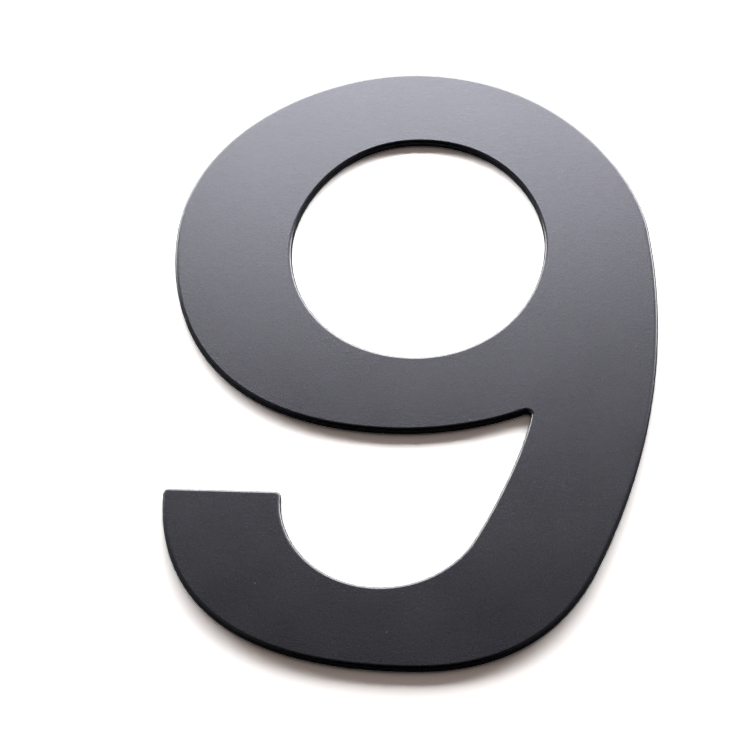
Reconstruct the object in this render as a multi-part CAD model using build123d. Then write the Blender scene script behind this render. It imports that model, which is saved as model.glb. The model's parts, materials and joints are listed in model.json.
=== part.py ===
from build123d import *
import math
import os

# House number 9: one flat plate cut to the shape of the figure, with its front
# edges rounded and two blind holes in its back for hidden fixing studs.
# Lengths are millimetres and angles are degrees. The plate lies on its back on
# z = 0, its front faces +z, and the top of the figure points along +y.
# The origin is under the middle of the figure, on the back face.

# Overall size
figure_height = 200.0
figure_width = 138.4
plate_thickness = 2.0

# Rounding of the edges and corners
front_edge_round = 1.0
terminal_corner_round = 1.6
notch_round = 1.4

# Widths of the strokes
bowl_side_stroke = 33.4
bowl_crown_stroke = 25.2
bowl_floor_stroke = 24.9
back_stroke = 33.6
tail_floor_stroke = 25.1
terminal_stroke = 32.5

# Counter, the closed opening of the bowl
counter_width = 71.9
counter_height = 74.8
counter_widest_drop = 36.9
counter_crown_lean = 1.1
counter_foot_lean = 0.8

# Outside of the bowl
bowl_widest_drop = 60.8
bowl_crown_lean = 3.7
bowl_foot_lean = 1.6

# Back of the figure, one long arc down its right side
back_radius = 202.4
back_widest_height = 105.5
back_shoulder_rise = 40.0
back_heel_drop = 72.5

# Tail and its cut end
terminal_inset = 5.2
terminal_height = 54.5
tail_inner_radius = 28.3
tail_foot_lean = 6.9
tail_join_angle = 30.9

# Notch between the bowl and the tail
notch_rise = 8.6
notch_upper_angle = 27.3
notch_lower_angle = 95.1

# Fullness of each smooth stretch of the outer edge, at its start and at its end,
# as a share of the straight way between them
tail_side_fullness = (0.247, 0.658)
heel_fullness = (0.187, 0.573)
shoulder_fullness = (0.230, 0.474)
bowl_upper_fullness = (0.319, 0.433)
bowl_lower_fullness = (0.287, 0.586)
bowl_floor_fullness = (0.256, 0.374)
tail_inner_fullness = (0.324, 0.120)

# Fullness of the counter's quarters, as a share of each quarter's own width or
# height. An ellipse has 0.55.
counter_flank_fullness = 0.374
counter_crown_fullness = 0.685
counter_foot_fullness = 0.565

# Blind threaded holes, cut to the core diameter of an M3 thread
stud_core_radius = 1.25
stud_face_wall = 0.6

# Outermost lines of the figure
top = figure_height / 2
bottom = -figure_height / 2
left = -figure_width / 2
right = figure_width / 2

# Levels and places that several curves share
counter_crown_level = top - bowl_crown_stroke
counter_widest_level = counter_crown_level - counter_widest_drop
counter_foot_level = counter_crown_level - counter_height
bowl_foot_level = counter_foot_level - bowl_floor_stroke
terminal_outer = (left + terminal_inset, bottom + terminal_height)
terminal_inner = (terminal_outer[0] + terminal_stroke, terminal_outer[1])
tail_centre = (terminal_inner[0] + tail_inner_radius, bottom + tail_floor_stroke + tail_inner_radius)
notch = (right - back_stroke, bowl_foot_level + notch_rise)


def polar(centre, radius, angle):
    """Point on a circle, with the angle taken from +x."""
    turn = math.radians(angle)
    return Vector(centre[0] + radius * math.cos(turn), centre[1] + radius * math.sin(turn))


def stretch(start, start_angle, end, end_angle, fullness):
    """Smooth stretch of the outline that runs from start to end. The angles are
    its headings where it leaves the start and where it reaches the end."""
    start, end = Vector(*start), Vector(*end)
    span = (end - start).length
    leaving = polar(tuple(start), fullness[0] * span, start_angle)
    arriving = polar(tuple(end), fullness[1] * span, end_angle + 180)
    return Bezier(start, leaving, arriving, end)


def oval_quarter(side, peak, side_fullness, peak_fullness):
    """Quarter of an oval, from its widest place at one side to its upper or lower end."""
    side, peak = Vector(*side), Vector(*peak)
    along_side = side + Vector(0, side_fullness * (peak - side).Y)
    beside_peak = peak + Vector(peak_fullness * (side - peak).X, 0)
    return Bezier(side, along_side, beside_peak, peak)


def counter_outline():
    """Upright oval that is a little narrower towards its crown."""
    counter_left = left + bowl_side_stroke
    middle = counter_left + counter_width / 2
    left_side = (counter_left, counter_widest_level)
    right_side = (counter_left + counter_width, counter_widest_level)
    crown = (middle - counter_crown_lean, counter_crown_level)
    foot = (middle + counter_foot_lean, counter_foot_level)
    return [
        oval_quarter(left_side, crown, counter_flank_fullness, counter_crown_fullness),
        oval_quarter(right_side, crown, counter_flank_fullness, counter_crown_fullness),
        oval_quarter(left_side, foot, counter_foot_fullness, counter_foot_fullness),
        oval_quarter(right_side, foot, counter_foot_fullness, counter_foot_fullness),
    ]


def figure_outline():
    """Outer edge of the figure, followed round from the cut end of the tail."""
    tail_foot = (tail_centre[0] + tail_foot_lean, bottom)
    back_centre = (right - back_radius, bottom + back_widest_height)
    heel_angle = math.degrees(math.asin(back_heel_drop / back_radius))
    shoulder_angle = math.degrees(math.asin(back_shoulder_rise / back_radius))
    heel = polar(back_centre, back_radius, -heel_angle)
    shoulder = polar(back_centre, back_radius, shoulder_angle)
    crown = (-bowl_crown_lean, top)
    bowl_side = (left, top - bowl_widest_drop)
    bowl_foot = (-bowl_foot_lean, bowl_foot_level)
    tail_join = polar(tail_centre, tail_inner_radius, -tail_join_angle)
    tail_side_foot = (terminal_inner[0], tail_centre[1])
    return [
        stretch(terminal_outer, -90, tail_foot, 0, tail_side_fullness),
        stretch(tail_foot, 0, heel, 90 - heel_angle, heel_fullness),
        CenterArc(back_centre, back_radius, -heel_angle, heel_angle + shoulder_angle),
        stretch(shoulder, 90 + shoulder_angle, crown, 180, shoulder_fullness),
        stretch(crown, 180, bowl_side, -90, bowl_upper_fullness),
        stretch(bowl_side, -90, bowl_foot, 0, bowl_lower_fullness),
        stretch(bowl_foot, 0, notch, notch_upper_angle, bowl_floor_fullness),
        stretch(notch, -notch_lower_angle, tail_join, -90 - tail_join_angle, tail_inner_fullness),
        CenterArc(tail_centre, tail_inner_radius, -tail_join_angle, tail_join_angle - 180),
        Line(tail_side_foot, terminal_inner),
        Line(terminal_inner, terminal_outer),
    ]


def upright_edges(plate, *places):
    """Upright edges of the plate at the given corners of its outline."""
    uprights = plate.edges().filter_by(Axis.Z)
    return [uprights.sort_by_distance((x, y, plate_thickness / 2))[0] for x, y in places]


def flat_plate():
    """Figure cut from sheet, with its three corners eased and its front rim rounded.
    The back rim lies against the wall and stays square."""
    sheet = make_face(Wire(figure_outline())) - make_face(Wire(counter_outline()))
    plate = extrude(sheet, plate_thickness)
    plate = fillet(upright_edges(plate, terminal_inner, terminal_outer), terminal_corner_round)
    plate = fillet(upright_edges(plate, notch), notch_round)
    front_rim = plate.faces().sort_by(Axis.Z)[-1].edges()
    return fillet(front_rim, front_edge_round)


def stud_places():
    """Two places in line above each other, in the crown of the bowl and in the
    floor of the tail."""
    stud_line = tail_centre[0]
    return [(stud_line, top - bowl_crown_stroke / 2), (stud_line, bottom + tail_floor_stroke / 2)]


def number_plate():
    """Finished plate, with the stud holes sunk into its back."""
    plate = flat_plate()
    hole_depth = plate_thickness - stud_face_wall
    for x, y in stud_places():
        hole = Cylinder(stud_core_radius, hole_depth, align=(Align.CENTER, Align.CENTER, Align.MIN))
        plate -= Pos(x, y, 0) * hole
    return plate


os.makedirs("parts", exist_ok=True)
export_step(number_plate(), "parts/number_plate.step")
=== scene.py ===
import json
import math

import bpy
from mathutils import Matrix, Vector

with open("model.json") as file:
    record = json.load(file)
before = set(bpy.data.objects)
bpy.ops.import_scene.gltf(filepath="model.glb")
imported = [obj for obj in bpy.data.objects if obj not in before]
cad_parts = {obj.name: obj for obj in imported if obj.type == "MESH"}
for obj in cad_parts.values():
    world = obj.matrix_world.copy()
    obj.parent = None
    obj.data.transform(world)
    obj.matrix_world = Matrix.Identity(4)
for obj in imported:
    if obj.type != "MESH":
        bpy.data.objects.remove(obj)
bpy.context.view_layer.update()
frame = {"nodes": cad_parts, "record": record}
print("frame loaded")


# Blender's linear colour for a hex sRGB one, with full alpha
def linearColour(hexColour):
    channels = []
    for start in (1, 3, 5):
        share = int(hexColour[start:start + 2], 16) / 255
        channels.append(share / 12.92 if share <= 0.04045 else ((share + 0.055) / 1.055) ** 2.4)
    return (*channels, 1.0)


# Adds a shader node, with its own settings, the values of its inputs and the outputs of other
# nodes that are linked to them. Inputs are given by name or, where names repeat, by number: a Mix
# node for colours takes them at 6 and 7 and gives the result at its output 2.
def addNode(tree, kind, values=None, links=None, settings=None):
    node = tree.nodes.new(kind)
    for name, value in (settings or {}).items():
        setattr(node, name, value)
    for name, value in (values or {}).items():
        node.inputs[name].default_value = value
    for name, source in (links or {}).items():
        tree.links.new(source, node.inputs[name])
    return node


# An empty material and its node tree
def newMaterial(name):
    material = bpy.data.materials.new(name)
    material.use_nodes = True
    material.node_tree.nodes.clear()
    return material, material.node_tree


white = (1.0, 1.0, 1.0, 1.0)

# The plate: the figure cut from 2 mm sheet, its front edges eased, then blasted and powder
# coated in one colour all over. Lengths are metres, and a spread is the part of a noise that
# runs from one end of the change to the other.
plate = {
    "node": "number_plate",
    "coat": "#050508",
    "fleck": "#232330",
    "fleckSize": 0.0004,
    "fleckSpread": (0.45, 0.70),
    "refractiveIndex": 1.5,
    "gloss": 0.228,
    "grain": 0.0006,
    "grainDepth": 0.000015,
    "waves": 0.0022,
    "waveDepth": 0.000006,
    "patches": 0.022,
    "patchGloss": 0.016,
    "patchSpread": (0.3, 0.7),
    "nibSpacing": 0.009,
    "nibShare": 0.08,
    "nibRadius": 0.00028,
    "nibHeight": 0.00005,
    # Up to this height the cut edge and rim take a dulled coat with its shine turned down, painted shade on
    # the edge band
    "shadedEdgeHeight": 0.00166,
    "edgeGloss": 0.5,
    "edgeShadeSpecular": 0.06,
    "holeDepth": 0.0014,
    "holeMetal": "#b9bbbe",
    "holeRoughness": 0.38,
}


# Black polyester powder coat, sprayed as powder and melted in the oven. It leaves a satin skin
# with fine paler flecks, a fine grain, a shallow orange peel, patches that cured a little
# glossier, and here and there a nib of dust.
def powderCoat():
    material, tree = newMaterial("satin_black_powder_coat")
    place = addNode(tree, "ShaderNodeTexCoord").outputs["Object"]
    grain = addNode(tree, "ShaderNodeTexNoise", links={"Vector": place},
                    values={"Scale": 1 / plate["grain"], "Detail": 2.0, "Roughness": 0.6})
    waves = addNode(tree, "ShaderNodeTexNoise", links={"Vector": place},
                    values={"Scale": 1 / plate["waves"], "Detail": 1.0, "Roughness": 0.5})
    patches = addNode(tree, "ShaderNodeTexNoise", links={"Vector": place},
                      values={"Scale": 1 / plate["patches"], "Detail": 2.0, "Roughness": 0.5})
    gloss = addNode(tree, "ShaderNodeMapRange", links={"Value": patches.outputs["Fac"]},
                    values={"From Min": plate["patchSpread"][0], "From Max": plate["patchSpread"][1],
                            "To Min": plate["gloss"] - plate["patchGloss"] / 2,
                            "To Max": plate["gloss"] + plate["patchGloss"] / 2})
    nibs = addNode(tree, "ShaderNodeTexVoronoi", links={"Vector": place},
                   values={"Scale": 1 / plate["nibSpacing"]}, settings={"voronoi_dimensions": "2D"})
    nibShape = addNode(tree, "ShaderNodeMapRange", links={"Value": nibs.outputs["Distance"]},
                       values={"From Min": plate["nibRadius"] / plate["nibSpacing"], "From Max": 0.0},
                       settings={"interpolation_type": "SMOOTHSTEP"})
    nibChance = addNode(tree, "ShaderNodeSeparateColor", links={"Color": nibs.outputs["Color"]})
    nibHere = addNode(tree, "ShaderNodeMath", links={0: nibChance.outputs["Red"]},
                      values={1: plate["nibShare"]}, settings={"operation": "LESS_THAN"})
    nibHeight = addNode(tree, "ShaderNodeMath", links={0: nibShape.outputs[0], 1: nibHere.outputs[0]},
                        settings={"operation": "MULTIPLY"})
    wavyNormal = addNode(tree, "ShaderNodeBump", links={"Height": waves.outputs["Fac"]},
                         values={"Strength": 1.0, "Distance": plate["waveDepth"]})
    nibNormal = addNode(tree, "ShaderNodeBump", values={"Strength": 1.0, "Distance": plate["nibHeight"]},
                        links={"Height": nibHeight.outputs[0], "Normal": wavyNormal.outputs["Normal"]})
    grainyNormal = addNode(tree, "ShaderNodeBump", values={"Strength": 1.0, "Distance": plate["grainDepth"]},
                           links={"Height": grain.outputs["Fac"], "Normal": nibNormal.outputs["Normal"]})
    flecks = addNode(tree, "ShaderNodeTexNoise", links={"Vector": place},
                     values={"Scale": 1 / plate["fleckSize"], "Detail": 1.0, "Roughness": 0.5})
    fleckShare = addNode(tree, "ShaderNodeMapRange", links={"Value": flecks.outputs["Fac"]},
                         values={"From Min": plate["fleckSpread"][0], "From Max": plate["fleckSpread"][1]})
    colour = addNode(tree, "ShaderNodeMix", links={0: fleckShare.outputs[0]}, settings={"data_type": "RGBA"},
                     values={6: linearColour(plate["coat"]), 7: linearColour(plate["fleck"])})
    skin = addNode(tree, "ShaderNodeBsdfPrincipled", values={"IOR": plate["refractiveIndex"]},
                   links={"Base Color": colour.outputs[2], "Roughness": gloss.outputs[0],
                          "Normal": grainyNormal.outputs["Normal"]})
    addNode(tree, "ShaderNodeOutputMaterial", links={"Surface": skin.outputs["BSDF"]})
    return material


# The same coat on the cut edge, a little rougher where it lies thin over the cut, with its shine turned far
# down so that the edge band stays dark: painted shade on the edge
def shadedEdgeCoat():
    material, tree = newMaterial("cut_edge_coat_dulled_for_painted_shade")
    skin = addNode(tree, "ShaderNodeBsdfPrincipled",
                   values={"Base Color": linearColour(plate["coat"]), "Roughness": plate["edgeGloss"],
                           "IOR": plate["refractiveIndex"], "Specular IOR Level": plate["edgeShadeSpecular"]})
    addNode(tree, "ShaderNodeOutputMaterial", links={"Surface": skin.outputs["BSDF"]})
    return material


# Bare drilled and tapped stainless steel, masked from the powder, so that the studs screw in
def bareHole():
    material, tree = newMaterial("drilled_bare_stainless_steel")
    metal = addNode(tree, "ShaderNodeBsdfPrincipled",
                    values={"Base Color": linearColour(plate["holeMetal"]), "Metallic": 1.0,
                            "Roughness": plate["holeRoughness"]})
    addNode(tree, "ShaderNodeOutputMaterial", links={"Surface": metal.outputs["BSDF"]})
    return material


# Places and radius of the two stud holes, from the frame's own record
def studHoles():
    metre = 1000
    pattern = next(mount for mount in frame["record"]["mounts"] if mount["kind"] == "bolt_pattern")
    x, y = pattern["pos_m"][:2]
    halfSpacing = pattern["dims"]["spacing_y_mm"] / metre / 2
    return [(x, y - halfSpacing), (x, y + halfSpacing)], pattern["dims"]["hole_r_mm"] / metre


plateMesh = frame["nodes"][plate["node"]].data
plateMesh.materials.clear()
for surface in (powderCoat(), shadedEdgeCoat(), bareHole()):
    plateMesh.materials.append(surface)

# Each facet gets its surface by its middle: the holes from the back up to their depth, the dulled coat that
# paints shade on the cut edge up to where the rim turns over, and the satin coat on the back, the front and
# the rest
coatSlot, shadedEdgeSlot, holeSlot = range(3)
holePlaces, holeRadius = studHoles()
sliver = 0.00001
for face in plateMesh.polygons:
    middle = face.center
    inHole = any(math.hypot(middle.x - x, middle.y - y) < holeRadius + sliver for x, y in holePlaces)
    onBack = middle.z < sliver
    if inHole and not onBack and middle.z < plate["holeDepth"] + sliver:
        face.material_index = holeSlot
    # The cut edge takes the dulled coat, which paints shade on it
    elif not onBack and middle.z < plate["shadedEdgeHeight"]:
        face.material_index = shadedEdgeSlot
    else:
        face.material_index = coatSlot
print("plate coated")


# The floor, plain and pale. It lies a hair under the plate, so a ray that meets it within the
# gap comes from the plate's own back.
floor = {
    "size": 8.0,
    "drop": 0.00002,
    "colour": "#e8e8e8",
    "seenGain": 1.76,
    "backdropStart": 0.17,
    "backdropFull": 0.30,
    "gapUnderPlate": 0.00006,
}


# Matt pale floor. Seen directly, mirrored or through glass it is lifted to plain white. Near the
# plate it keeps the shadow, and further off it is the white backdrop. From below, and right under
# the plate, it is clear, so that the back of the plate can be looked at.
def paleFloor():
    material, tree = newMaterial("pale_floor")
    path = addNode(tree, "ShaderNodeLightPath").outputs
    seenOrMirrored = addNode(tree, "ShaderNodeMath", settings={"operation": "MAXIMUM"},
                             links={0: path["Is Camera Ray"], 1: path["Is Glossy Ray"]})
    seen = addNode(tree, "ShaderNodeMath", settings={"operation": "MAXIMUM"},
                   links={0: seenOrMirrored.outputs[0], 1: path["Is Transmission Ray"]})
    lifted = (floor["seenGain"],) * 3 + (1.0,)
    colour = addNode(tree, "ShaderNodeMix", settings={"data_type": "RGBA"}, links={0: seen.outputs[0]},
                     values={6: linearColour(floor["colour"]), 7: lifted})
    matt = addNode(tree, "ShaderNodeBsdfDiffuse", links={"Color": colour.outputs[2]})
    backdrop = addNode(tree, "ShaderNodeEmission", values={"Color": white, "Strength": 1.0})
    place = addNode(tree, "ShaderNodeTexCoord").outputs["Object"]
    away = addNode(tree, "ShaderNodeVectorMath", links={0: place}, settings={"operation": "LENGTH"})
    far = addNode(tree, "ShaderNodeMapRange", links={"Value": away.outputs["Value"]},
                  values={"From Min": floor["backdropStart"], "From Max": floor["backdropFull"]},
                  settings={"interpolation_type": "SMOOTHSTEP"})
    backdropShare = addNode(tree, "ShaderNodeMath", links={0: far.outputs[0], 1: seen.outputs[0]},
                            settings={"operation": "MULTIPLY"})
    above = addNode(tree, "ShaderNodeMixShader",
                    links={0: backdropShare.outputs[0], 1: matt.outputs["BSDF"], 2: backdrop.outputs[0]})
    clear = addNode(tree, "ShaderNodeBsdfTransparent")
    fromBelow = addNode(tree, "ShaderNodeNewGeometry").outputs["Backfacing"]
    fromBack = addNode(tree, "ShaderNodeMath", links={0: path["Ray Length"]},
                       values={1: floor["gapUnderPlate"]}, settings={"operation": "LESS_THAN"})
    below = addNode(tree, "ShaderNodeMath", links={0: fromBelow, 1: fromBack.outputs[0]},
                    settings={"operation": "MAXIMUM"})
    eitherSide = addNode(tree, "ShaderNodeMixShader",
                         links={0: below.outputs[0], 1: above.outputs[0], 2: clear.outputs[0]})
    addNode(tree, "ShaderNodeOutputMaterial", links={"Surface": eitherSide.outputs[0]})
    return material


half = floor["size"] / 2
floorCorners = [(-half, -half, 0), (half, -half, 0), (half, half, 0), (-half, half, 0)]
floorMesh = bpy.data.meshes.new("floor")
floorMesh.from_pydata(floorCorners, [], [(0, 1, 2, 3)])
floorMesh.materials.append(paleFloor())
floorObject = bpy.data.objects.new("floor", floorMesh)
floorObject.location.z = -floor["drop"]
bpy.context.collection.objects.link(floorObject)
print("floor laid")


# Two soft lamps. The long low one beyond the top of the figure lights the floor and throws the
# shadows. The card stands higher and further back, only to be mirrored in the satin coat.
lowLamp = {
    "name": "low_lamp",
    "centre": (-0.016, 0.395, 0.125),
    "aim": (0.0, 0.151, 0.0),
    "width": 1.34,
    "height": 0.162,
    "colour": "#ffffff",
    "watts": 13.31,
}
faceCard = {
    "name": "face_card",
    "centre": (-0.153, 1.173, 1.080),
    "aim": (0.0, -0.386, 0.0),
    "width": 0.525,
    "height": 0.578,
    "colour": "#f2f2ff",
    "watts": 13.64,
}


def softLamp(lamp):
    data = bpy.data.lights.new(lamp["name"], "AREA")
    data.shape = "RECTANGLE"
    data.size = lamp["width"]
    data.size_y = lamp["height"]
    data.color = linearColour(lamp["colour"])[:3]
    data.energy = lamp["watts"]
    lampObject = bpy.data.objects.new(lamp["name"], data)
    lampObject.location = lamp["centre"]
    towardsAim = Vector(lamp["aim"]) - Vector(lamp["centre"])
    lampObject.rotation_euler = towardsAim.to_track_quat("-Z", "Y").to_euler()
    bpy.context.collection.objects.link(lampObject)
    return lampObject


softLamp(lowLamp)
softLamp(faceCard).visible_diffuse = False

# The room. It lights the plate dimly, a little more from behind the figure's top. The coat mirrors
# bright cards at both sides of the lamps, the one at the right brighter, dim side walls, a dim
# ceiling and a dim light from below. Where the camera sees past the floor it is plain white. Each
# light has the span of directions over which it fades in or out, as shares along x, y or z.
room = {
    "colour": "#ffe9de",
    "front": 0.022,
    "back": 0.31,
    "backSpan": (-0.1, 0.4),
    "mirrored": "#f0f0ff",
    "cardsMiddle": -0.097,
    "sideCards": 1.4,
    "sideCardSpan": (0.12, 0.3),
    "rightCard": 3.2,
    "rightCardSpan": (0.06, 0.28),
    "cardFootSpan": (0.3, 0.6),
    "sideWalls": 0.35,
    "sideWallSpan": (0.35, 0.7),
    "ceiling": 0.35,
    "ceilingFrontSpan": (-0.25, 0.1),
    "ceilingBackSpan": (0.45, 0.25),
    "underneath": 0.6,
    "underneathSpan": (0.0, -0.1),
}

world = bpy.data.worlds.new("room")
bpy.context.scene.world = world
world.use_nodes = True
roomTree = world.node_tree
roomTree.nodes.clear()
roomPath = addNode(roomTree, "ShaderNodeLightPath").outputs
direction = addNode(roomTree, "ShaderNodeTexCoord").outputs["Generated"]
along = addNode(roomTree, "ShaderNodeSeparateXYZ", links={0: direction}).outputs


# Light that changes smoothly over a span of one direction, by default up from none
def fadedLight(value, span, strength, before=0.0):
    fade = addNode(roomTree, "ShaderNodeMapRange", links={"Value": value},
                   values={"From Min": span[0], "From Max": span[1],
                           "To Min": before, "To Max": strength},
                   settings={"interpolation_type": "SMOOTHSTEP"})
    return fade.outputs[0]


def combined(operation, first, second):
    return addNode(roomTree, "ShaderNodeMath", links={0: first, 1: second},
                   settings={"operation": operation}).outputs[0]


# How far a direction lies to either side of a middle one
def fromMiddle(value, middle):
    offset = addNode(roomTree, "ShaderNodeMath", links={0: value}, values={1: middle},
                     settings={"operation": "SUBTRACT"})
    return addNode(roomTree, "ShaderNodeMath", links={0: offset.outputs[0]},
                   settings={"operation": "ABSOLUTE"}).outputs[0]


def plainLight(colour, strength):
    return addNode(roomTree, "ShaderNodeBackground", links={"Strength": strength},
                   values={"Color": linearColour(colour)}).outputs[0]


bothCards = fadedLight(fromMiddle(along["X"], room["cardsMiddle"]), room["sideCardSpan"], room["sideCards"])
rightCard = fadedLight(along["X"], room["rightCardSpan"], room["rightCard"])
overCardFoot = fadedLight(along["Y"], room["cardFootSpan"], 1.0)
cards = combined("MULTIPLY", combined("MAXIMUM", bothCards, rightCard), overCardFoot)
sideWalls = fadedLight(fromMiddle(along["X"], 0.0), room["sideWallSpan"], room["sideWalls"])
ceiling = combined("MULTIPLY", fadedLight(along["Y"], room["ceilingFrontSpan"], room["ceiling"]),
                   fadedLight(along["Y"], room["ceilingBackSpan"], 1.0))
brightest = combined("MAXIMUM", combined("MAXIMUM", cards, sideWalls), ceiling)
underneath = fadedLight(along["Z"], room["underneathSpan"], room["underneath"])
mirroredLight = plainLight(room["mirrored"], combined("ADD", brightest, underneath))
dimLight = plainLight(room["colour"], fadedLight(along["Y"], room["backSpan"], room["back"], room["front"]))

roomLight = addNode(roomTree, "ShaderNodeMixShader",
                    links={0: roomPath["Is Glossy Ray"], 1: dimLight, 2: mirroredLight}).outputs[0]
whiteBackdrop = addNode(roomTree, "ShaderNodeBackground",
                        values={"Color": white, "Strength": 1.0}).outputs[0]
either = addNode(roomTree, "ShaderNodeMixShader",
                 links={0: roomPath["Is Camera Ray"], 1: roomLight, 2: whiteBackdrop}).outputs[0]
addNode(roomTree, "ShaderNodeOutputWorld", links={"Surface": either})
print("lights set")


# The camera stands a little to the right of the figure's foot and looks down at it. Its place is
# given in metres and degrees round its target, and its lens in millimetres.
camera = {
    "target": (-0.00868, -0.00684, 0.00209),
    "distance": 1.1106,
    "azimuth": 9.85,
    "elevation": 55.61,
    "roll": -6.68,
    "lens": 192.0,
    "sensor": 36.0,
    "nearest": 0.05,
    "farthest": 30.0,
}

cameraData = bpy.data.cameras.new("camera")
cameraData.lens = camera["lens"]
cameraData.sensor_width = camera["sensor"]
cameraData.clip_start = camera["nearest"]
cameraData.clip_end = camera["farthest"]
cameraObject = bpy.data.objects.new("camera", cameraData)
turn = (Matrix.Rotation(math.radians(camera["azimuth"]), 4, "Z")
        @ Matrix.Rotation(math.radians(90 - camera["elevation"]), 4, "X")
        @ Matrix.Rotation(math.radians(camera["roll"]), 4, "Z"))
cameraObject.matrix_world = (Matrix.Translation(camera["target"]) @ turn
                             @ Matrix.Translation((0, 0, camera["distance"])))
bpy.context.collection.objects.link(cameraObject)
bpy.context.scene.camera = cameraObject
bpy.context.scene.view_settings.view_transform = "Standard"
print("camera placed")
